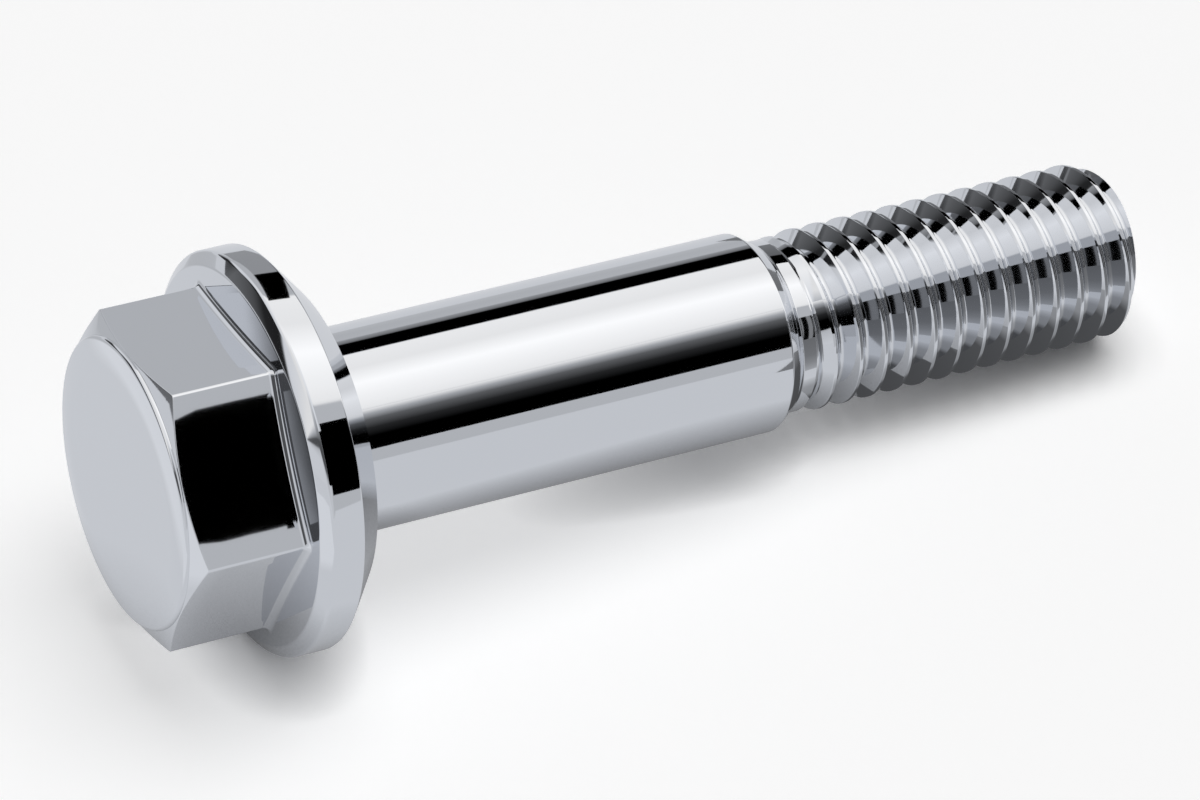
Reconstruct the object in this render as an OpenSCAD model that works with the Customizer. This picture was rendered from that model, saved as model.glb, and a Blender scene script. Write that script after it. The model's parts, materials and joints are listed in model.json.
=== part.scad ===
// Pinch bolt: one forged and turned piece with a hexagon head, a collar under it,
// a smooth fitted shank and a right-hand metric thread. It lies on a flat surface
// as it comes to rest, on the back edge of the collar and on the last thread crest.

/* [Hexagon head] */
// Width across the flats of the hexagon
across_flats = 12.75; // [11.5:0.05:13.5]
// Height from the bearing face to the corners of the hexagon
corner_height = 7.85; // [6:0.05:10]
// Slope of the chamfer on the corners, from the flat top
corner_chamfer_angle = 22; // [12:1:32]
// Height of the raised round top above the chamfer
top_step = 0.21; // [0.12:0.01:0.5]
// Depth of the soft crown round the edge of the top
crown_depth = 0.1; // [0.02:0.01:0.2]
// Width of that crown
crown_width = 1.2; // [0.6:0.1:2.5]
// Rounding of the six long edges
hex_edge_radius = 0.2; // [0.1:0.05:0.6]
// Hollow rounding between the hexagon and the collar
hex_base_fillet = 0.3; // [0.15:0.05:0.5]
// Turn of the hexagon about the bolt's axis as it lies
head_turn = 22.2; // [0:0.1:60]

/* [Collar] */
// Diameter of the collar
collar_d = 17.6; // [16.5:0.1:20]
// Height of the outer edge of the collar's upper face over the bearing face
collar_face_height = 3.25; // [2.9:0.05:3.8]
// Slope of the collar's upper face
collar_face_slope = 5; // [0:1:12]
// Width of the bevel between the upper face and the rim
front_bevel_width = 0.56; // [0.3:0.02:0.8]
// Depth of that bevel
front_bevel_depth = 0.4; // [0.2:0.02:0.7]
// Height of the rim's back edge over the bearing face
back_bevel_height = 1.48; // [0.8:0.02:1.8]
// Diameter of the bearing face
bearing_d = 14; // [12:0.1:15.5]
// Rounding of the rim's front edges
rim_front_radius = 0.25; // [0.05:0.05:0.35]
// Rounding of the rim's back edge
rim_back_radius = 0.12; // [0.04:0.02:0.3]
// Rounding of the bearing face's outer edge
bearing_edge_radius = 0.2; // [0.05:0.05:0.4]

/* [Shank] */
// Diameter of the fitted shank
shank_d = 8.9; // [8.4:0.05:9.6]
// Length of the fitted shank from the bearing face
shank_length = 21.2; // [10:0.1:60]
// Fillet between the bearing face and the shank
under_head_fillet = 0.4; // [0.2:0.05:0.8]
// Rounding of the shank's end
shank_end_radius = 0.15; // [0.05:0.05:0.3]
// Length of the cone from the shank down to the neck
shank_chamfer_length = 0.85; // [0.5:0.05:1.5]
// Diameter of the neck between the cone and the thread
neck_d = 7.7; // [7.5:0.02:7.9]
// Length of the neck
neck_length = 0.65; // [0.4:0.05:4]
// Step from the neck down to the bar that the thread is rolled in
blank_step = 0.04; // [0.02:0.01:0.1]

/* [Thread] */
// Outer diameter of the thread
thread_d = 8; // [7.92:0.01:8]
// Pitch of the thread
pitch = 1.25; // [1:0.05:1.5]
// Length of the thread from the neck to the tip
thread_length = 16.6; // [8:0.1:60]
// Length over which the groove grows to its full depth
run_in_length = 1.25; // [0.8:0.05:2.5]
// Diameter of the flat tip
tip_d = 7.1; // [6.8:0.05:7.4]
// Length of the chamfer at the tip
tip_chamfer_length = 0.7; // [0.4:0.05:1.5]
// Steps in one turn of the thread
turn_steps = 48; // [24:4:64]

/* [Hidden] */

// Straight pieces in each rounded corner of an outline
corner_steps = 4;
// Straight pieces in the soft crown of the top
crown_steps = 5;
// Overlap where one form runs into the next
overlap = 0.6;
// Bite of a hollow rounding into the faces that it joins
bite = 0.01;

apothem = across_flats / 2;
corner_radius = apothem / cos(30);
collar_r = collar_d / 2;
bearing_r = bearing_d / 2;
shank_r = shank_d / 2;
neck_r = neck_d / 2;
blank_r = neck_r - blank_step;
thread_r = thread_d / 2;
tip_r = tip_d / 2;

// Heights are measured along the axis from the bearing face: the head is below 0,
// and the tip is up.
chamfer_rise = (corner_radius - apothem) * tan(corner_chamfer_angle);
step_z = -corner_height - chamfer_rise;
top_edge_z = step_z - top_step;
top_edge_r = apothem - top_step;
top_z = top_edge_z - crown_depth;
face_outer_r = collar_r - front_bevel_width;
face_outer_z = -collar_face_height;
neck_start_z = shank_length + shank_chamfer_length;
thread_start_z = neck_start_z + neck_length;
tip_z = thread_start_z + thread_length;
tip_chamfer_z = tip_z - tip_chamfer_length;

// Height of the collar's upper face at a radius
function collar_face_z(r) = face_outer_z - (face_outer_r - r) * tan(collar_face_slope);

function unit(v) = v / norm(v);
function turned(r, a) = [r * cos(a), r * sin(a)];

// The arc that rounds the corner b between its neighbours a and c
function corner_arc(a, b, c, radius) =
    let (
        u = unit(a - b),
        v = unit(c - b),
        half = acos(u * v) / 2,
        centre = b + unit(u + v) * radius / sin(half),
        from = b + u * radius / tan(half) - centre,
        to = b + v * radius / tan(half) - centre,
        start = atan2(from.y, from.x),
        swing = atan2(to.y, to.x) - start,
        sweep = swing > 180 ? swing - 360 : swing < -180 ? swing + 360 : swing
    )
    [for (i = [0:corner_steps]) centre + turned(radius, start + sweep * i / corner_steps)];

// A closed outline from corners given as [x, y, radius]
function rounded(corners) =
    let (n = len(corners))
    [for (i = [0:n - 1])
        let (
            b = corners[i],
            a = corners[(i + n - 1) % n],
            c = corners[(i + 1) % n]
        )
        each b[2] > 0
            ? corner_arc([a.x, a.y], [b.x, b.y], [c.x, c.y], b[2])
            : [[b.x, b.y]]];

// A hexagon grown by some width on every side, with its corners rounded
function hexagon(grow) =
    rounded([for (i = [0:5])
        let (p = turned((apothem + grow) / cos(30), 60 * i))
        [p.x, p.y, hex_edge_radius + grow]]);

// Forms of the head

// Everything that the turning tool leaves of the head's top: the crowned round top,
// its rounded step and the chamfer on the corners
module turned_top() {
    reach = corner_radius + overlap;
    reach_z = -corner_height + (reach - corner_radius) * tan(corner_chamfer_angle);
    crown_r = top_edge_r - crown_width;
    crown = [for (i = [0:crown_steps - 1])
        let (s = i / crown_steps)
        [crown_r + crown_width * s, top_z + crown_depth * s * s]];
    step = [for (i = [0:corner_steps])
        let (a = 90 * i / corner_steps)
        [top_edge_r + top_step * sin(a), top_edge_z + top_step * (1 - cos(a))]];
    rotate_extrude($fn = 96)
        polygon(concat([[0, 0], [0, top_z]], crown, step, [[reach, reach_z], [reach, 0]]));
}

module hex_head() {
    intersection() {
        translate([0, 0, top_z - overlap])
            linear_extrude(height = overlap - top_z - back_bevel_height)
                polygon(hexagon(0));
        turned_top();
    }
}

// The hollow rounding that runs round the foot of the hexagon
module hex_foot() {
    levels = corner_steps + 1;
    foot_z = collar_face_z(apothem);
    rings = [for (i = [0:levels])
        let (a = 90 * min(i, corner_steps) / corner_steps)
        [for (p = hexagon(hex_base_fillet * (1 - cos(a)) - bite))
            [p.x, p.y, i > corner_steps ? foot_z + overlap : foot_z - hex_base_fillet * (1 - sin(a))]]];
    n = len(rings[0]);
    sides = [for (i = [0:levels - 1], j = [0:n - 1])
        [i * n + j, i * n + (j + 1) % n, (i + 1) * n + (j + 1) % n, (i + 1) * n + j]];
    polyhedron(
        points = [for (ring = rings) each ring],
        faces = concat(
            [[for (j = [n - 1:-1:0]) j]],
            sides,
            [[for (j = [0:n - 1]) levels * n + j]]));
}

// The collar, the shank, its end cone and the neck, turned in one go
module turned_body() {
    rotate_extrude($fn = 96)
        polygon(rounded([
            [0, collar_face_z(0), 0],
            [face_outer_r, face_outer_z, rim_front_radius],
            [collar_r, face_outer_z + front_bevel_depth, rim_front_radius],
            [collar_r, -back_bevel_height, rim_back_radius],
            [bearing_r, 0, bearing_edge_radius],
            [shank_r, 0, under_head_fillet],
            [shank_r, shank_length, shank_end_radius],
            [neck_r, neck_start_z, shank_end_radius],
            [neck_r, thread_start_z, 0],
            [0, thread_start_z, 0]]));
}

// Forms of the thread

// One pitch of the thread's section: how far along the pitch, and how deep in pitches.
// The crest is an eighth of the pitch wide, and the flanks stand at 60 degrees.
section = [[-1 / 16, 0], [1 / 16, 0], [3 / 8, 0.5413], [1 / 2, 0.6134], [5 / 8, 0.5413]];

// The groove grows from the plain neck to its full depth along the run-in
function run_in(z) = max(0, min(1, (z - thread_start_z) / run_in_length));
function thread_radius(z, depth) =
    blank_r + (thread_r - depth * pitch - blank_r) * run_in(z);

// A helical skin of narrow strips, closed at both ends with a fan round the axis
module thread() {
    n = len(section);
    turns_below = ceil(1 + neck_length / pitch);
    turns_above = ceil(1 + thread_length / pitch);
    strips = n * (turns_below + turns_above);
    start_z = thread_start_z - turns_below * pitch;
    skin = [for (s = [0:strips], i = [0:turn_steps - 1])
        let (
            a = 360 * i / turn_steps,
            q = floor(s / n) + section[s % n][0],
            z = start_z + pitch * (q + i / turn_steps),
            r = thread_radius(z, section[s % n][1])
        )
        [r * cos(a), r * sin(a), z]];
    // The vertex of strip line s after step i, which runs on into the next turn's line
    function at(s, i) = i < turn_steps ? s * turn_steps + i : (s + n) * turn_steps;
    low_end = len(skin);
    high_end = low_end + 1;
    top_line = strips - n;
    sides = [for (s = [0:top_line - 1], i = [0:turn_steps - 1])
        each [
            [at(s, i), at(s + 1, i), at(s + 1, i + 1)],
            [at(s, i), at(s + 1, i + 1), at(s, i + 1)]]];
    low_fan = concat(
        [for (i = [0:turn_steps - 1]) [low_end, at(0, i), at(0, i + 1)]],
        [for (s = [0:n - 1]) [low_end, at(s + 1, 0), at(s, 0)]]);
    high_fan = concat(
        [for (i = [0:turn_steps - 1]) [high_end, at(top_line, i + 1), at(top_line, i)]],
        [for (s = [top_line:strips - 1]) [high_end, at(s, 0), at(s + 1, 0)]]);
    intersection() {
        polyhedron(
            points = concat(skin, [[0, 0, start_z], [0, 0, start_z + pitch * strips / n]]),
            faces = concat(sides, low_fan, high_fan));
        tip_envelope();
    }
}

// The full thread's outside, with the chamfer and the flat tip
module tip_envelope() {
    rotate_extrude($fn = 96)
        polygon([
            [0, neck_start_z - 2 * pitch],
            [thread_r + overlap, neck_start_z - 2 * pitch],
            [thread_r + overlap, tip_chamfer_z - overlap * tip_chamfer_length / (thread_r - tip_r)],
            [tip_r, tip_z],
            [0, tip_z]]);
}

// The rest pose: the bolt lies on two points, where a line from the rim's rounded back
// edge touches the last whole crest straight below the axis
crest_half = pitch / 16;
crests_before_tip = floor((tip_chamfer_z - crest_half - thread_start_z) / pitch);
rest_crest_z = thread_start_z + crests_before_tip * pitch + crest_half;
rim_back_bend = atan2(collar_r - bearing_r, back_bevel_height);
rim_arc_r = collar_r - rim_back_radius;
rim_arc_z = -back_bevel_height - rim_back_radius * tan(rim_back_bend / 2);
rest_run = rest_crest_z - rim_arc_z;
rest_drop = rim_arc_r - thread_r;
rest_tilt = atan2(rest_drop, rest_run) + asin(rim_back_radius / norm([rest_run, rest_drop]));
rest_lift = rim_arc_r * cos(rest_tilt) + rim_arc_z * sin(rest_tilt) + rim_back_radius;
low_x = (top_edge_z + top_step) * cos(rest_tilt) - top_edge_r * sin(rest_tilt) - top_step;
high_x = tip_z * cos(rest_tilt) + tip_r * sin(rest_tilt);

// Lays the upright bolt down along X, head first, with its middle over the origin
module lying_down() {
    translate([-(low_x + high_x) / 2, 0, rest_lift])
        rotate([0, 90 + rest_tilt, 0])
            children();
}

module bolt() {
    color("gainsboro")
        lying_down()
            union() {
                rotate([0, 0, head_turn]) {
                    hex_head();
                    hex_foot();
                    turned_body();
                }
                thread();
            }
}

bolt();
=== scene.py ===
# %% [markdown]
# # Pinch bolt
# A pinch bolt squeezes a split clamp shut. This one is a flanged hexagon bolt with
# a thick fitted shank and a short thread, chromed to a mirror. A mirror shows its
# surroundings and not itself, so the two jobs here are a very clean surface and
# a plain studio with the right bright and dark parts round the bolt.

# %% The measured frame
import json
import math

import bmesh
import bpy
from mathutils import Matrix, Vector

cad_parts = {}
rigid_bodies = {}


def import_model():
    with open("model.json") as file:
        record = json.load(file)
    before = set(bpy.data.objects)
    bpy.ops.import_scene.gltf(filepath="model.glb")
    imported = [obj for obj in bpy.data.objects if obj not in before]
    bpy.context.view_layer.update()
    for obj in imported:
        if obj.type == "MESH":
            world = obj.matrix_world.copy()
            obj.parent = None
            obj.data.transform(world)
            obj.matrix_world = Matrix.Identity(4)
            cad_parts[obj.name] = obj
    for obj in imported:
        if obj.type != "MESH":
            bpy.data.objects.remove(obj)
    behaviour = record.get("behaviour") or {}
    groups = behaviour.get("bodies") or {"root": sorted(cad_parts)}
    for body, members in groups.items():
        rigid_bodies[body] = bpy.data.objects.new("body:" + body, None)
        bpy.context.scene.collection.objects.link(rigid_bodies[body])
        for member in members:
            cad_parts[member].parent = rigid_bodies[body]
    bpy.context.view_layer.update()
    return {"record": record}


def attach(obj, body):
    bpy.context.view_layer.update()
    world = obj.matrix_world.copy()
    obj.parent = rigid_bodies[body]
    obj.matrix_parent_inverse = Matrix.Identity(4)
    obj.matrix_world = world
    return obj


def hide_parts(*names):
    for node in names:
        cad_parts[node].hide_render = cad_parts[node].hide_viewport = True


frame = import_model()
mm = 0.001

# %% [markdown]
# ## Where the bolt lies
# It is easier to turn a bolt upright and lay it down at the end, as a lathe hand
# would. The record's thread mount gives the middle of the tip and the way that
# the axis points, so the upright bolt has its bearing face at height 0, its tip up
# and its head below, and one matrix takes it to its place.

# %% From the upright bolt to the one that lies down
under_head_length = 39.3 * mm
mounts = {mount["name"]: mount for mount in frame["record"]["mounts"]}
bolt_axis = Vector(mounts["thread"]["axis"]).normalized()
bearing_centre = Vector(mounts["thread"]["pos_m"]) - bolt_axis * under_head_length
sideways = Vector((0, 1, 0))
lying_down = Matrix.Translation(bearing_centre) @ Matrix(
    (sideways.cross(bolt_axis), sideways, bolt_axis)).transposed().to_4x4()
print("axis leans", round(math.degrees(math.asin(-bolt_axis.z)), 2), "degrees")

# %% [markdown]
# ## Camera
# A long lens from a good way off keeps the shank's sides nearly parallel. It stands
# beside the bolt, off the head's end, and looks down at 43 degrees. Its place is told
# from the point on the axis where the hexagon's corners end: so far to the right, up
# and back.

# %% Camera
look_down = math.radians(42.72)
look_heading = math.radians(62.99)
ahead = Vector((math.cos(look_down) * math.cos(look_heading),
                math.cos(look_down) * math.sin(look_heading),
                -math.sin(look_down)))
rightwards = ahead.cross(Vector((0, 0, 1))).normalized()
upwards = rightwards.cross(ahead)
hex_corner_height = 7.85 * mm
corner_point = bearing_centre - bolt_axis * hex_corner_height
camera_right = 19.40 * mm
camera_up = 3.38 * mm
camera_back = 258.76 * mm
camera_data = bpy.data.cameras.new("long_lens")
camera_data.lens = 186.0
camera_data.sensor_width = 36.0
camera_data.clip_start = 0.02
camera_data.clip_end = 10.0
camera = bpy.data.objects.new("long_lens", camera_data)
bpy.context.scene.collection.objects.link(camera)
camera.matrix_world = Matrix.Translation(
    corner_point + rightwards * camera_right + upwards * camera_up - ahead * camera_back
) @ Matrix((rightwards, upwards, -ahead)).transposed().to_4x4()
bpy.context.scene.camera = camera
print("camera at", [round(c / mm, 1) for c in camera.matrix_world.translation])

# %% [markdown]
# ## Outlines with rounded corners
# Polished metal has no knife edges: each corner of a turned part is a small arc,
# and in a mirror finish each arc is a thin bright or dark line. So every outline
# below is a list of corners, each with its own radius, and one helper turns
# the corners into arcs. A bevel would do it too, but here each corner differs.

# %% Rounded outlines
def rounded(corners, steps=6):
    """Corners as (across, along, radius), open at both ends, to points with arcs."""
    points = []
    for index, (across, along, radius) in enumerate(corners):
        here = Vector((across, along))
        if not radius:
            points.append(here)
            continue
        back = (Vector(corners[index - 1][:2]) - here).normalized()
        onward = (Vector(corners[index + 1][:2]) - here).normalized()
        half = back.angle(onward) / 2
        middle = here + (back + onward).normalized() * radius / math.sin(half)
        first = here + back * radius / math.tan(half) - middle
        sweep = (math.pi - 2 * half) * (1 if back.cross(onward) < 0 else -1)
        points += [middle + Matrix.Rotation(sweep * step / steps, 2) @ first
                   for step in range(steps + 1)]
    return points


print("points of one rounded corner:", len(rounded([(0, 0, 0), (1, 0, 0.1), (1, 1, 0)])))

# %% [markdown]
# ## A lathe
# On a lathe the bar turns and the tool follows an outline. Here the outline is a line
# of edges in the XZ plane, and a full spin carries it round the axis. Points that
# meet on the axis are merged, and the faces are then made to point outwards.

# %% Lathe
seam_distance = 0.0005 * mm


def draw(bm, points):
    """The points as an open line of edges in the XZ plane."""
    vertices = [bm.verts.new((point.x, 0, point.y)) for point in points]
    edges = [bm.edges.new(pair) for pair in zip(vertices, vertices[1:])]
    return vertices + edges


def turn_on_lathe(bm, points, steps=192):
    """The outline spun once round the axis, closed on the axis at both ends."""
    bmesh.ops.spin(bm, geom=draw(bm, points), cent=(0, 0, 0), axis=(0, 0, 1),
                   dvec=(0, 0, 0), angle=2 * math.pi, steps=steps, use_merge=True)
    bmesh.ops.remove_doubles(bm, verts=bm.verts[:], dist=seam_distance)
    bmesh.ops.recalc_face_normals(bm, faces=bm.faces[:])


def grow_edges(bm, edges):
    """Extrudes the edges where they are and returns the new points."""
    grown = bmesh.ops.extrude_edge_only(bm, edges=edges)["geom"]
    return [item for item in grown if isinstance(item, bmesh.types.BMVert)]


def as_object(bm, name):
    """Turns the bmesh into an object in the scene and frees it."""
    mesh = bpy.data.meshes.new(name)
    bm.to_mesh(mesh)
    bm.free()
    piece = bpy.data.objects.new(name, mesh)
    bpy.context.scene.collection.objects.link(piece)
    return piece


# %% [markdown]
# ## Collar, shank and neck
# On the real bolt these are one turned form: a nearly flat face round the hexagon,
# a bevel, a narrow rim, a long cone back to the bearing face, then the ground shank,
# its end cone and the neck. One outline and one spin make it, which keeps every
# edge truly round.

# %% Turned body
collar_radius = 8.8 * mm
collar_face_z = -3.25 * mm
collar_face_slope = math.radians(5)
bevel_width = 0.56 * mm
bevel_height = 0.4 * mm
collar_face_radius = collar_radius - bevel_width
rim_front_z = collar_face_z + bevel_height
rim_back_z = -1.48 * mm
bearing_radius = 7.0 * mm
shank_radius = mounts["shank"]["dims"]["r_mm"] * mm
shank_length = 21.2 * mm
end_cone_length = 0.85 * mm
neck_radius = 3.85 * mm
neck_length = 0.65 * mm
neck_start = shank_length + end_cone_length
thread_start = neck_start + neck_length


def collar_face_at(radius):
    """Height of the collar's face, which slopes back a little towards its bevel."""
    return collar_face_z - (collar_face_radius - radius) * math.tan(collar_face_slope)


body = bmesh.new()
turn_on_lathe(body, rounded([
    (0, collar_face_at(0), 0),
    (collar_face_radius, collar_face_z, 0.25 * mm),
    (collar_radius, rim_front_z, 0.25 * mm),
    (collar_radius, rim_back_z, 0.12 * mm),
    (bearing_radius, 0, 0.2 * mm),
    (shank_radius, 0, 0.4 * mm),
    (shank_radius, shank_length, 0.15 * mm),
    (neck_radius, neck_start, 0.15 * mm),
    (neck_radius, thread_start, 0.03 * mm),
    (0, thread_start, 0)]))
print("turned body:", len(body.faces), "faces")

# %% [markdown]
# ## Hexagon head
# A cold-formed head is a hexagon whose corners a tool has chamfered in a lathe, which
# leaves a curved line on each flat. A boolean cut would give it, but its ragged faces
# spoil a mirror. Here the head is pushed up ring by ring, as if the metal flowed
# into its die: hollow foot, flats, chamfer, rounded step and crown. Each ring has
# its points in the same directions, close together at the six long edges.

# %% Sizes of the hexagon head
flat_distance = 6.375 * mm
long_edge_radius = 0.2 * mm
foot_radius = 0.3 * mm
chamfer_slope = math.tan(math.radians(22))
sharp_corner_reach = flat_distance / math.cos(math.pi / 6)
step_inset = 0.04 * mm
step_radius = flat_distance - step_inset
crown_radius = 6.165 * mm
crown_width = 1.2 * mm
crown_depth = 0.1 * mm
top_z = -8.559 * mm
head_turn = math.radians(22.2)
directions_per_corner = 48


def chamfer_at(radius):
    """Height of the chamfer's cone, which the lathe tool leaves on the corners."""
    return -hex_corner_height - (sharp_corner_reach - radius) * chamfer_slope


def crown_at(radius):
    """Height of the soft crown near the edge of the top."""
    return top_z + crown_depth * ((radius - crown_radius + crown_width) / crown_width) ** 2


print("chamfer on the corners:", round((chamfer_at(sharp_corner_reach) - top_z) / mm, 2), "mm high")

# %% [markdown]
# ## Directions round the head
# A mirror needs its points where the surface bends most, at the long edges, and few
# on the flats. So the directions crowd together at each corner, by a square law.

# %% Reach of the hexagon
def hexagon_reach(direction, grow=0.0):
    """Distance from the axis to the rounded hexagon's side, grown outwards."""
    from_corner = abs((direction - head_turn + math.pi / 6) % (math.pi / 3) - math.pi / 6)
    arc_radius = long_edge_radius + grow
    arc_centre = (flat_distance - long_edge_radius) / math.cos(math.pi / 6)
    arc_end = math.atan2(arc_radius / 2, arc_centre + arc_radius * math.cos(math.pi / 6))
    if from_corner < arc_end:
        return arc_centre * math.cos(from_corner) + math.sqrt(
            arc_radius ** 2 - (arc_centre * math.sin(from_corner)) ** 2)
    return (flat_distance + grow) / math.cos(math.pi / 6 - from_corner)


def crowd(share):
    """Turn from a corner for a share from -1 to 1, with most shares near the corner."""
    return math.copysign(share * share, share) * math.pi / 6


directions = [head_turn + corner * math.pi / 3 + crowd(2 * step / directions_per_corner - 1)
              for corner in range(6) for step in range(directions_per_corner)]
print("hexagon is", round(2 * max(map(hexagon_reach, directions)) / mm, 2), "mm over its corners")

# %% [markdown]
# ## The head's rings
# One function gives the outline of the head in a direction, from the sunk foot
# up to the edge of the crown. Every direction has the same number of points,
# so the rings close. Only the hexagon's reach differs from one direction to another.

# %% Outline of the head in one direction
foot_steps = 8
crown_steps = 10
chamfer_edge_radius = 0.05 * mm
top_edge_radius = 0.18 * mm
wall_length = 1 * mm  # upright stretch that leads into the chamfer


def head_outline(direction):
    """Points from the foot, which is sunk in the collar, to the flat top."""
    foot = hexagon_reach(direction, foot_radius)
    points = [Vector((foot, collar_face_at(foot) + foot_radius))]
    for step in range(foot_steps + 1):
        turn = math.pi / 2 * (1 - step / foot_steps)
        reach = hexagon_reach(direction, foot_radius * (1 - math.cos(turn)))
        points.append(Vector((reach, collar_face_at(reach) - foot_radius * (1 - math.sin(turn)))))
    wall = hexagon_reach(direction)
    chamfer_length = wall - step_radius
    points += rounded([
        (wall, chamfer_at(wall) + wall_length, 0),
        (wall, chamfer_at(wall), min(chamfer_edge_radius, 0.5 * chamfer_length)),
        (step_radius, chamfer_at(step_radius), 0)], steps=4)
    points += rounded([
        (step_radius, chamfer_at(step_radius), 0),
        (step_radius, crown_at(step_radius), top_edge_radius),
        (crown_radius, crown_at(crown_radius), 0)], steps=8)[1:]
    for step in range(1, crown_steps + 1):
        radius = crown_radius - crown_width * step / crown_steps
        points.append(Vector((radius, crown_at(radius))))
    points.append(Vector((crown_radius / 2, top_z)))
    return points


outlines = [head_outline(direction) for direction in directions]
print("rings in the head:", len(outlines[0]))

# %% [markdown]
# ## Pushing up the head
# The first ring is a closed circle sunk in the collar. Each extrusion of its edge
# gives the next ring, whose points then move to their place. The last ring closes in
# one point on the axis.

# %% Hexagon head
head = bmesh.new()
bmesh.ops.create_circle(head, cap_ends=True, segments=len(directions), radius=flat_distance)
ring = sorted(head.verts, key=lambda vertex: math.atan2(vertex.co.y, vertex.co.x) % (2 * math.pi))


def place_ring(level):
    """Moves the ring's points to the level that they have in the outlines."""
    for vertex, direction, outline in zip(ring, directions, outlines):
        across, along = outline[level]
        vertex.co = (across * math.cos(direction), across * math.sin(direction), along)


def grow_ring():
    """Extrudes the ring and returns the new points."""
    return grow_edges(head, [head.edges.get(pair) for pair in zip(ring, ring[1:] + ring[:1])])


place_ring(0)
for level in range(1, len(outlines[0])):
    fresh = set(grow_ring())
    ring = [next(edge.other_vert(vertex) for edge in vertex.link_edges
                 if edge.other_vert(vertex) in fresh) for vertex in ring]
    place_ring(level)
bmesh.ops.pointmerge(head, verts=grow_ring(), merge_co=(0, 0, top_z))
bmesh.ops.recalc_face_normals(head, faces=head.faces[:])
print("head:", len(head.faces), "faces, open edges", sum(edge.is_boundary for edge in head.edges))

# %% [markdown]
# ## Rolled thread
# Rolling dies press a helical groove into the bar, so its crests are smooth and
# its root is round. A screw modifier or a spiral of cones could stand in for it, but
# a true helix shows the climb of the crests along the side. The section of one pitch
# is half a crest, the groove and half a crest.

# %% Section of one pitch
thread_radius = mounts["thread"]["dims"]["r_mm"] * mm
pitch = 1.25 * mm
crest_half = pitch / 16
crest_edge_radius = 0.045 * mm
root_radius = 0.1443 * pitch
flank_rise = math.tan(math.radians(60))
sharp_groove_depth = (pitch / 2 - crest_half) * flank_rise
section = rounded([
    (thread_radius, 0, 0),
    (thread_radius, crest_half, crest_edge_radius),
    (thread_radius - sharp_groove_depth, pitch / 2, root_radius),
    (thread_radius, pitch - crest_half, crest_edge_radius),
    (thread_radius, pitch, 0)])
print("depth of the groove", round((thread_radius - min(p.x for p in section)) / mm, 3), "mm",
      "points", len(section))

# %% [markdown]
# ## One turn, many times
# The section is spun round the axis while it climbs by one pitch, and copies of that
# turn are set on one another and merged where they meet. At the neck the groove
# runs in over one pitch, from the plain bar to its full depth.

# %% Thread
turn_steps = 144
hidden_turns = 2
turns = 17
turn_seam_distance = 0.002 * mm
blank_radius = 3.81 * mm
run_in_length = pitch
tip_z = under_head_length

thread = bmesh.new()
start_z = thread_start - hidden_turns * pitch
one_turn = draw(thread, [Vector((point.x, start_z + point.y)) for point in section])
bmesh.ops.spin(thread, geom=one_turn, cent=(0, 0, 0), axis=(0, 0, 1),
               dvec=(0, 0, pitch / turn_steps), angle=2 * math.pi, steps=turn_steps,
               use_merge=False)
one_turn = thread.verts[:] + thread.edges[:] + thread.faces[:]
for turn in range(1, turns):
    copy = bmesh.ops.duplicate(thread, geom=one_turn)["geom"]
    bmesh.ops.translate(thread, vec=(0, 0, turn * pitch),
                        verts=[v for v in copy if isinstance(v, bmesh.types.BMVert)])
bmesh.ops.remove_doubles(thread, verts=thread.verts[:], dist=turn_seam_distance)
for vertex in thread.verts:
    along = min(1, max(0, (vertex.co.z - thread_start) / run_in_length))
    radius = vertex.co.xy.length
    grown_radius = blank_radius + (radius - blank_radius) * along
    vertex.co.xy *= grown_radius / radius
print("thread:", turns, "turns,", len(thread.faces), "faces")

# %% [markdown]
# ## Closing the thread
# The helix is open at both ends. Each open rim is drawn together to a point on
# the axis, so that the thread is a closed solid that can be cut.

# %% Closed ends
rims = [edge for edge in thread.edges if edge.is_boundary]
low_rim = [edge for edge in rims if edge.verts[0].co.z < thread_start]
high_rim = [edge for edge in rims if edge.verts[0].co.z > thread_start]
for rim, height in ((low_rim, start_z), (high_rim, start_z + turns * pitch)):
    bmesh.ops.pointmerge(thread, verts=grow_edges(thread, rim), merge_co=(0, 0, height))
bmesh.ops.recalc_face_normals(thread, faces=thread.faces[:])
print("open edges", sum(not edge.is_manifold for edge in thread.edges))

# %% [markdown]
# ## Tip of the thread
# The bar's end is chamfered and flat before the thread is rolled, so the last crest
# fades out in a cone. The thread is kept only inside a turned envelope with that
# cone: an exact boolean, because the cut runs across the groove at every height.

# %% The turned tip
tip_radius = 3.55 * mm
tip_chamfer_length = 0.7 * mm
clearance = 0.6 * mm
wide_radius = thread_radius + clearance
sunk_length = 1.2 * pitch
low_z = neck_start - sunk_length
cone_z = tip_z - tip_chamfer_length * (1 + clearance / (thread_radius - tip_radius))

envelope = bmesh.new()
turn_on_lathe(envelope, rounded([
    (0, low_z, 0),
    (wide_radius, low_z, 0),
    (wide_radius, cone_z, 0),
    (tip_radius, tip_z, 0.06 * mm),
    (0, tip_z, 0)], steps=4), steps=288)
print("the cone starts", round((tip_z - cone_z) / mm, 2), "mm from the tip")

# %% Cut by the turned tip
thread_piece = as_object(thread, "thread_form")
envelope_piece = as_object(envelope, "tip_form")
cut = thread_piece.modifiers.new("tip", "BOOLEAN")
cut.operation = "INTERSECT"
cut.solver = "EXACT"
cut.object = envelope_piece
bpy.context.view_layer.update()
cut_mesh = bpy.data.meshes.new_from_object(
    thread_piece.evaluated_get(bpy.context.evaluated_depsgraph_get()))
print("thread after the cut:", len(cut_mesh.polygons), "faces, height",
      round(max(v.co.z for v in cut_mesh.vertices) / mm, 2))
bpy.data.objects.remove(thread_piece)
bpy.data.objects.remove(envelope_piece)

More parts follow.
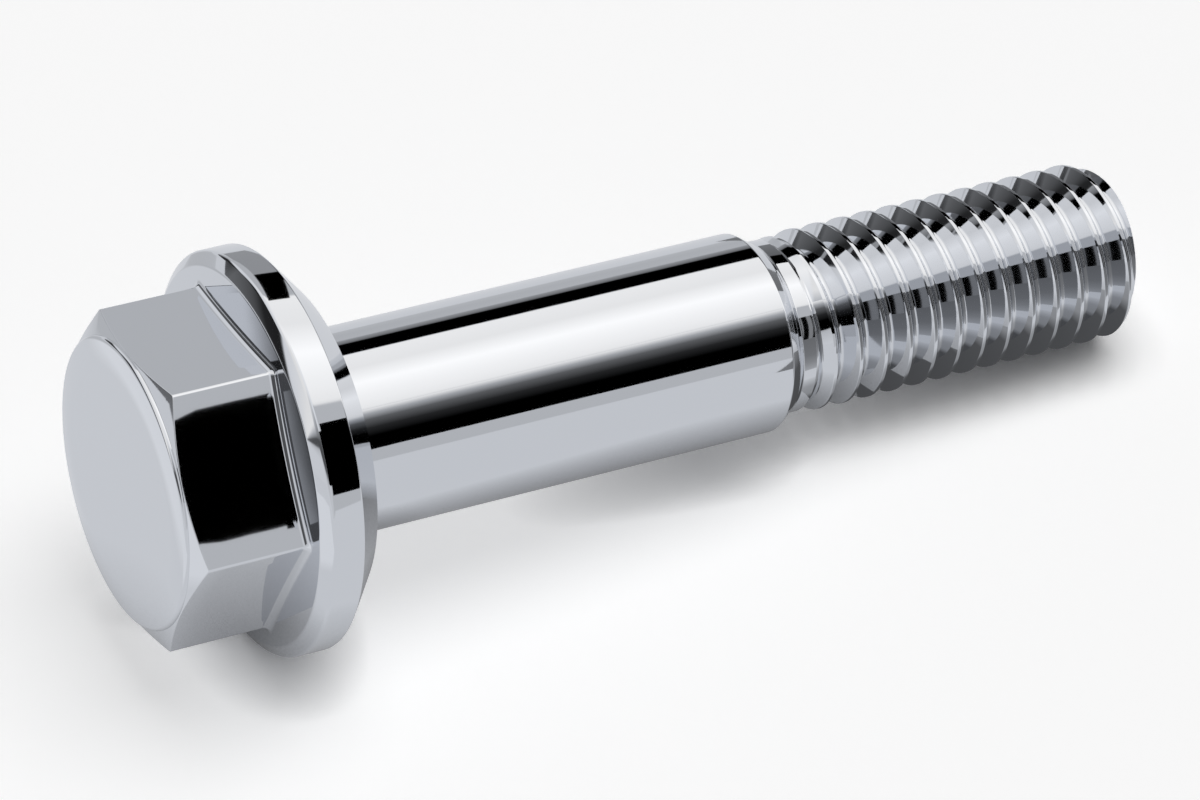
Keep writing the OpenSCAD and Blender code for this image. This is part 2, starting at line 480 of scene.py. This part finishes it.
# %% [markdown]
# ## One bolt
# Head, body and thread run into one another as the metal does, and they become one
# mesh that lies down in its place. Faces are smooth, edges of more than 30 degrees
# stay sharp, and weighted normals keep the flats of the hexagon truly flat: in a mirror
# a bent normal shows at once.

# %% The finished piece
sharp_angle = math.radians(30)

whole = bmesh.new()
whole.from_mesh(cut_mesh)
for part in (head, body):
    mesh = bpy.data.meshes.new("part")
    part.to_mesh(mesh)
    part.free()
    whole.from_mesh(mesh)
    bpy.data.meshes.remove(mesh)
whole.transform(lying_down)
for face in whole.faces:
    face.smooth = True
for edge in whole.edges:
    edge.smooth = edge.is_manifold and edge.calc_face_angle() < sharp_angle
print("open edges", sum(not edge.is_manifold for edge in whole.edges),
      "triangles", sum(len(face.verts) - 2 for face in whole.faces))
bolt = as_object(whole, "pinch_bolt")
normals = bolt.modifiers.new("flat_flats", "WEIGHTED_NORMAL")
normals.keep_sharp = True
normals.weight = 50
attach(bolt, "root")
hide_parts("bolt")

# %% [markdown]
# ## Chrome
# Chrome plate is a mirror with a slightly cool tint. Its finish comes from the metal
# under it: turned and polished steel leaves a hair-fine unevenness that softens
# reflections a little. A principled metal with a low roughness, varied by a slow
# noise, and a very faint bump give that, and nothing is painted on it.

# %% Chrome material
chrome = bpy.data.materials.new("bright_chrome")
chrome.use_nodes = True
nodes = chrome.node_tree.nodes
links = chrome.node_tree.links
shader = nodes["Principled BSDF"]
shader.inputs["Base Color"].default_value = (0.71, 0.727, 0.76, 1)
shader.inputs["Metallic"].default_value = 1.0
place = nodes.new("ShaderNodeTexCoord")
haze = nodes.new("ShaderNodeTexNoise")
haze.inputs["Scale"].default_value = 350.0
haze.inputs["Detail"].default_value = 3.0
haze_range = nodes.new("ShaderNodeMapRange")
haze_range.inputs["To Min"].default_value = 0.03
haze_range.inputs["To Max"].default_value = 0.06
polish = nodes.new("ShaderNodeTexNoise")
polish.inputs["Scale"].default_value = 260.0
polish.inputs["Detail"].default_value = 2.0
bump = nodes.new("ShaderNodeBump")
bump.inputs["Strength"].default_value = 0.02
bump.inputs["Distance"].default_value = 0.2 * mm
links.new(place.outputs["Object"], haze.inputs["Vector"])
links.new(haze.outputs["Fac"], haze_range.inputs["Value"])
links.new(haze_range.outputs["Result"], shader.inputs["Roughness"])
links.new(place.outputs["Object"], polish.inputs["Vector"])
links.new(polish.outputs["Fac"], bump.inputs["Height"])
links.new(bump.outputs["Normal"], shader.inputs["Normal"])
bolt.data.materials.clear()
bolt.data.materials.append(chrome)
print("materials of the bolt:", [material.name for material in bolt.data.materials])

# %% [markdown]
# ## Tones of the studio
# A photographer sets up paper, black cards and softboxes until the chrome looks right.
# Here a tone of 1 stands for bright paper as the chrome shows it, and one level scales
# all the tones that the chrome sees. Plain paper and dark cards look a little cool, and
# the softboxes, whose tones are high, a little warm.

# %% Level and tints
studio_level = 0.77
paper_tone = 0.965
softbox_tone = 1.2
cool_tint = (0.985, 1, 1.03)
warm_tint = (1.013, 1, 0.979)


def set_tones(ramp, tones):
    """Puts (position, tone) pairs on a colour ramp."""
    stops = ramp.color_ramp.elements
    while len(stops) > 1:
        stops.remove(stops[-1])
    for index, (position, tone) in enumerate(tones):
        stop = stops[0] if index == 0 else stops.new(position)
        stop.position = position
        tint = warm_tint if tone > softbox_tone else cool_tint
        stop.color = [tone * studio_level * part for part in tint] + [1]


print("the chrome sees paper at a strength of", round(paper_tone * studio_level, 3))

# %% [markdown]
# ## Floor
# A sheet of white paper, far larger than the picture. It is matt and takes the soft
# shadow of the bolt from the lamp. Some light of its own lifts it to the white of
# the background, and ambient occlusion takes that light away close to the bolt.

# %% Paper as the camera sees it
floor_radius = 3.0
floor_bm = bmesh.new()
bmesh.ops.create_circle(floor_bm, cap_ends=True, segments=96, radius=floor_radius)
floor = as_object(floor_bm, "floor")
paper = bpy.data.materials.new("white_paper")
paper.use_nodes = True
nodes = paper.node_tree.nodes
links = paper.node_tree.links
nodes.clear()
matt = nodes.new("ShaderNodeBsdfDiffuse")
matt.inputs["Color"].default_value = (0.97, 0.97, 0.972, 1)
contact = nodes.new("ShaderNodeAmbientOcclusion")
contact.inputs["Distance"].default_value = 2.9 * mm
contact.samples = 6
deepen = nodes.new("ShaderNodeMath")
deepen.operation = "POWER"
deepen.inputs[1].default_value = 1.9
own_light = nodes.new("ShaderNodeEmission")
own_light.inputs["Strength"].default_value = 0.515
both = nodes.new("ShaderNodeAddShader")
links.new(contact.outputs["AO"], deepen.inputs[0])
links.new(deepen.outputs["Value"], own_light.inputs["Color"])
links.new(matt.outputs["BSDF"], both.inputs[0])
links.new(own_light.outputs["Emission"], both.inputs[1])
print("floor", 2 * floor_radius, "m across")

# %% [markdown]
# ## The floor in the mirror
# In the chrome the same paper is plain and even, and it darkens slowly near the bolt,
# which stands in its light. The kind of ray picks one look or the other.

# %% Paper as the chrome sees it
shade = nodes.new("ShaderNodeAmbientOcclusion")
shade.samples = 6
shade.inputs["Distance"].default_value = 7 * mm
shade.inputs["Color"].default_value = (*cool_tint, 1)
shade_deepen = nodes.new("ShaderNodeGamma")
shade_deepen.inputs["Gamma"].default_value = 1.12
mirrored_paper = nodes.new("ShaderNodeEmission")
mirrored_paper.inputs["Strength"].default_value = paper_tone * studio_level
seen_by = nodes.new("ShaderNodeLightPath")
paper_mix = nodes.new("ShaderNodeMixShader")
paper_out = nodes.new("ShaderNodeOutputMaterial")
links.new(shade.outputs["Color"], shade_deepen.inputs["Color"])
links.new(shade_deepen.outputs["Color"], mirrored_paper.inputs["Color"])
links.new(seen_by.outputs["Is Glossy Ray"], paper_mix.inputs["Fac"])
links.new(both.outputs["Shader"], paper_mix.inputs[1])
links.new(mirrored_paper.outputs["Emission"], paper_mix.inputs[2])
links.new(paper_mix.outputs["Shader"], paper_out.inputs["Surface"])
floor.data.materials.append(paper)
print("nodes in the paper:", len(nodes))

# %% [markdown]
# ## Directions round the bolt
# What the chrome shows in the picture depends on where it stands in the studio.
# Places round the bolt are told by an angle about its axis, which starts towards
# the camera and turns down the picture.

# %% Angles round the axis
towards_camera = (-ahead - bolt_axis * (-ahead).dot(bolt_axis)).normalized()
down_picture = bolt_axis.cross(towards_camera)
if down_picture.dot(upwards) > 0:
    down_picture.negate()


def round_bolt(angle):
    """Direction across the axis: 0 is towards the camera, 90 down the picture."""
    turn = math.radians(angle)
    return towards_camera * math.cos(turn) + down_picture * math.sin(turn)


print("towards the camera", towards_camera, "down the picture", down_picture)

# %% [markdown]
# ## Cards
# A card is a flat sheet near the bolt. Light that rakes over a real card leaves it
# lighter at one edge, so each card here glows in tones that change across it.

# %% Tones across a card
def glow_across(name, middle, crosswise, tones):
    """Material that glows in tones from one long edge of a card to the other."""
    low = tones[0][0]
    high = tones[-1][0]
    material = bpy.data.materials.new(name)
    material.use_nodes = True
    nodes = material.node_tree.nodes
    links = material.node_tree.links
    nodes.clear()
    where = nodes.new("ShaderNodeTexCoord")
    reach = nodes.new("ShaderNodeVectorMath")
    reach.operation = "DOT_PRODUCT"
    reach.inputs[1].default_value = crosswise
    span = nodes.new("ShaderNodeMapRange")
    span.inputs["From Min"].default_value = middle.dot(crosswise) + low * mm
    span.inputs["From Max"].default_value = middle.dot(crosswise) + high * mm
    ramp = nodes.new("ShaderNodeValToRGB")
    set_tones(ramp, [((place - low) / (high - low), tone) for place, tone in tones])
    glow = nodes.new("ShaderNodeEmission")
    out = nodes.new("ShaderNodeOutputMaterial")
    links.new(where.outputs["Object"], reach.inputs[0])
    links.new(reach.outputs["Value"], span.inputs["Value"])
    links.new(span.outputs["Result"], ramp.inputs["Fac"])
    links.new(ramp.outputs["Color"], glow.inputs["Color"])
    links.new(glow.outputs["Emission"], out.inputs["Surface"])
    return material


# %% [markdown]
# ## Who sees the cards
# Only the chrome sees a card: the camera, the lamp and the paper don't, so it
# casts no shadow on the floor. Most cards stand along the bolt, parallel to its axis.

# %% A card
def card(name, middle, lengthwise, crosswise, length, tones):
    """A flat card that only the chrome sees, with its length in mm.

    Its tones are pairs of a place across the card in mm and a tone there."""
    low = tones[0][0] * mm
    high = tones[-1][0] * mm
    size_and_turn = Matrix((lengthwise * length * mm, crosswise * (high - low),
                            lengthwise.cross(crosswise))).transposed().to_4x4()
    sheet = bmesh.new()
    bmesh.ops.create_grid(sheet, x_segments=1, y_segments=1, size=0.5)
    sheet.transform(Matrix.Translation(middle + crosswise * (low + high) / 2) @ size_and_turn)
    piece = as_object(sheet, name)
    piece.data.materials.append(glow_across(name, middle, crosswise, tones))
    piece.visible_camera = False
    piece.visible_diffuse = False
    piece.visible_shadow = False
    piece.visible_transmission = False


def long_card(name, angle, distance, start, end, tones):
    """A card along the axis: its angle, its distance and its two ends in mm."""
    middle = bearing_centre + (round_bolt(angle) * distance + bolt_axis * (start + end) / 2) * mm
    card(name, middle, bolt_axis, round_bolt(angle + 90), end - start, tones)


# %% [markdown]
# ## Black cards on the camera's side
# The crisp black shapes on the hexagon, the rim and the shank are reflections of black
# cards just over them. The shank's card fades towards one edge, and that gives the
# shank its soft dark band. The thread shows black and grey squares, so its
# card is grey with narrow black slats on it, one to each pitch.

# %% Front cards
front_angle = 8.8
front_distance = 12.4
hexagon_distance = 15.2
long_card("hexagon_black_card", front_angle, hexagon_distance, -6.4, -0.3,
          [(-2.75, 0), (2.95, 0)])
long_card("rim_black_card", front_angle, front_distance, -1.8, 2, [(-2.8, 0), (2.9, 0)])
long_card("shank_black_card", front_angle, front_distance, 2, 26,
          [(-5.05, 1.4), (-4.0, 0.64), (-2.8, 0.18), (-1.1, 0.03), (0.5, 0), (3.14, 0)])
print("front cards stand", front_distance, "and", hexagon_distance, "mm from the axis")

# %% Grey card with slats
behind_slats = 0.05
thread_card_start = 26
thread_card_end = 60
slat_length = 0.68
slat_shift = 0.25
long_card("thread_grey_card", front_angle, front_distance + behind_slats,
          thread_card_start, thread_card_end,
          [(-2.3, 0.34), (3.3, 0.34), (3.4, 0.24), (9.6, 0.3)])
for slat in range(-10, 13):
    slat_start = (tip_z + pitch * (slat + slat_shift)) / mm
    long_card("thread_black_slat", front_angle, front_distance,
              slat_start, slat_start + slat_length, [(-2.3, 0), (3.3, 0)])
print("a slat covers", round(slat_length * mm / pitch, 2), "of a pitch")

# %% [markdown]
# ## Cards below and behind
# A grey card low in front dims the thread's underside. A dark strip behind the bolt
# draws the thin dark line along the top of the rim, the shank and the thread.

# %% Low card and back strips
low_angle = 55
low_distance = 14
back_angle = -95
back_distance = 16
long_card("thread_low_card", low_angle, low_distance, 27.5, 60,
          [(-2.6, 0.3), (-0.5, 0.4), (1.9, 0.6)])
long_card("rim_back_strip", back_angle, back_distance, 0.9, 3,
          [(-5, 0.47), (3.5, 0.47), (3.6, 0), (9.1, 0)])
long_card("back_black_strip", back_angle, back_distance, 3, 28,
          [(-1.03, 0.5), (0.6, 0.25), (1.0, 0), (5.34, 0)])
long_card("thread_back_strip", back_angle, back_distance, 28, 75,
          [(-9, 0.3), (0.6, 0.2), (1.0, 0), (5.34, 0)])
print("low card and back strips stand", low_distance, "and", back_distance, "mm from the axis")

# %% [markdown]
# ## Sheets on the floor
# Three sheets lie on the paper. The left one, a little brighter, lights the rounded
# edge of the head's top. The far one tones down the upper part of the collar's face.
# The dark one beside the thread is painted shadow: the bolt's contact shadow on the
# paper as the chrome sees it, darkest next to the thread and lighter away from it,
# and so it shades the thread's lower side.

# %% Floor cards
along = Vector((1, 0, 0))
away = Vector((0, 1, 0))
card("left_floor_card", Vector((0, -4, 0.3)) * mm, away, -along, 62,
     [(33.5, 0.965), (37, 1.12), (150, 1.12)])
card("back_floor_card", Vector((-70, 0, 0.3)) * mm, along, away, 100,
     [(28, 0.965), (40, 0.74), (150, 0.8)])
# Painted shadow: a dark sheet where the paper lies in the bolt's contact shadow, seen only by the
# chrome.
card("painted_thread_shadow_sheet", Vector((16.5, 0, 0.2)) * mm, along, -away, 15,
     [(1, 0.1), (4.3, 0.13), (5.2, 0.42), (7, 0.5), (9.5, 0.9)])

# %% [markdown]
# ## World
# Beyond the cards the chrome sees walls and softboxes. There are three such views.
# The one along the shank shows in the shank, the rim and the flats of the hexagon.
# The one past the head shows in the collar's face, and the one far past it mostly in
# the bevel. Each is a list of tones by the angle round the axis, and the way along
# the axis picks one.

# %% Angle and way along the axis
world = bpy.data.worlds.new("studio")
bpy.context.scene.world = world
world.use_nodes = True
nodes = world.node_tree.nodes
links = world.node_tree.links
nodes.clear()
where = nodes.new("ShaderNodeTexCoord")


def dot_with(vector):
    """How far the view's direction goes along a vector."""
    node = nodes.new("ShaderNodeVectorMath")
    node.operation = "DOT_PRODUCT"
    node.inputs[1].default_value = vector
    links.new(where.outputs["Generated"], node.inputs[0])
    return node.outputs["Value"]


angle = nodes.new("ShaderNodeMath")
angle.operation = "ARCTAN2"
turn_range = nodes.new("ShaderNodeMapRange")
turn_range.inputs["From Min"].default_value = -math.pi
turn_range.inputs["From Max"].default_value = math.pi
links.new(dot_with(down_picture), angle.inputs[0])
links.new(dot_with(towards_camera), angle.inputs[1])
links.new(angle.outputs["Value"], turn_range.inputs["Value"])

# %% Skies
def sky_ramp(tones):
    """A sky from pairs of an angle round the axis in degrees and a tone there."""
    ramp = nodes.new("ShaderNodeValToRGB")
    set_tones(ramp, [((degrees + 180) / 360, tone) for degrees, tone in tones])
    links.new(turn_range.outputs["Result"], ramp.inputs["Fac"])
    return ramp.outputs["Color"]


side_sky = sky_ramp([
    (-180, 0.8), (-140, 0.8), (-123, 0.72), (-115, 0.74), (-86.6, 0.74), (-86.5, 1.46),
    (-78, 1.42), (-66, 1.38), (-55, 1.58), (-47, 1.74), (-40, 1.65), (-32, 1.56),
    (-25, 1.5), (-17, 1.4), (-16, 0.78), (48, 0.77), (52, 0.95), (120, 0.95), (180, 0.8)])
head_sky = sky_ramp([
    (-180, 0.9), (-152, 1.0), (-149, 0.28), (-139, 0.12), (-133, 0.03), (-126, 0.03),
    (-122.5, 1.12), (-107, 1.06), (-60, 1.5), (-16, 1.2), (12, 0.95), (48, 0.9), (180, 0.9)])
behind_sky = sky_ramp([
    (-180, 1.0), (-160, 1.0), (-152, 0.24), (-135, 0.2), (-124, 0.12), (-117, 0.03),
    (-103, 0.02), (-100, 1.08), (-60, 1.25), (-30, 1.3), (-15, 0.8), (-2, 0.4),
    (4, 0.12), (23, 0.12), (31, 0.8), (50, 1.0), (180, 1.0)])
print("three skies, with", len(nodes), "nodes so far")

# %% One sky of three
def sky_mix(low, high, below, above):
    """Blends two skies between two values of the way along the bolt's axis."""
    share = nodes.new("ShaderNodeMapRange")
    share.inputs["From Min"].default_value = low
    share.inputs["From Max"].default_value = high
    links.new(dot_with(bolt_axis), share.inputs["Value"])
    blend = nodes.new("ShaderNodeMix")
    blend.data_type = "RGBA"
    links.new(share.outputs["Result"], blend.inputs["Factor"])
    links.new(below, blend.inputs["A"])
    links.new(above, blend.inputs["B"])
    return blend.outputs["Result"]


head_starts = -0.53
head_full = -0.46
side_starts = -0.15
side_full = 0.05
past_head = sky_mix(head_starts, head_full, behind_sky, head_sky)
whole_sky = sky_mix(side_starts, side_full, past_head, side_sky)
print("the view along the shank is whole within",
      round(math.degrees(math.acos(side_full))), "degrees of the axis")

# %% [markdown]
# ## Three looks of the world
# To the camera the world is near white, as the background of the photograph is. To
# the paper it is a faint even light that fills the shadow. To the chrome it is the
# sky above.

# %% Light by the kind of ray
glossy_sky = nodes.new("ShaderNodeBackground")
links.new(whole_sky, glossy_sky.inputs["Color"])
plain_sky = nodes.new("ShaderNodeBackground")
plain_sky.inputs["Strength"].default_value = 0.13
camera_sky = nodes.new("ShaderNodeBackground")
camera_sky.inputs["Color"].default_value = (0.98, 0.98, 0.985, 1)
rays = nodes.new("ShaderNodeLightPath")
mix_glossy = nodes.new("ShaderNodeMixShader")
mix_camera = nodes.new("ShaderNodeMixShader")
world_out = nodes.new("ShaderNodeOutputWorld")
links.new(rays.outputs["Is Glossy Ray"], mix_glossy.inputs["Fac"])
links.new(plain_sky.outputs["Background"], mix_glossy.inputs[1])
links.new(glossy_sky.outputs["Background"], mix_glossy.inputs[2])
links.new(rays.outputs["Is Camera Ray"], mix_camera.inputs["Fac"])
links.new(mix_glossy.outputs["Shader"], mix_camera.inputs[1])
links.new(camera_sky.outputs["Background"], mix_camera.inputs[2])
links.new(mix_camera.outputs["Shader"], world_out.inputs["Surface"])
print("nodes in the world:", len(nodes))

# %% [markdown]
# ## Softbox overhead
# One wide lamp, high up and a little off towards the tip, gives the soft shadow under
# the bolt, which reaches out a little past the head. A sun with a wide angle is such a
# softbox, with the same light everywhere. The chrome has its softboxes in the sky, so
# it doesn't see this one.

# %% Overhead softbox
lamp_place = Vector((0.14, -0.03, 0.5))
lamp_data = bpy.data.lights.new("overhead_softbox", "SUN")
lamp_data.angle = math.radians(45)
lamp_data.energy = 1.06
lamp = bpy.data.objects.new("overhead_softbox", lamp_data)
lamp.location = lamp_place
lamp.rotation_euler = lamp_place.to_track_quat("Z", "Y").to_euler()
lamp.visible_glossy = False
bpy.context.scene.collection.objects.link(lamp)
print("lamp", round(math.degrees(lamp_place.angle(Vector((0, 0, 1))))), "degrees off upright")

# %% [markdown]
# ## View transform
# The render uses the Standard view transform.

# %% Standard view transform
bpy.context.scene.view_settings.view_transform = "Standard"
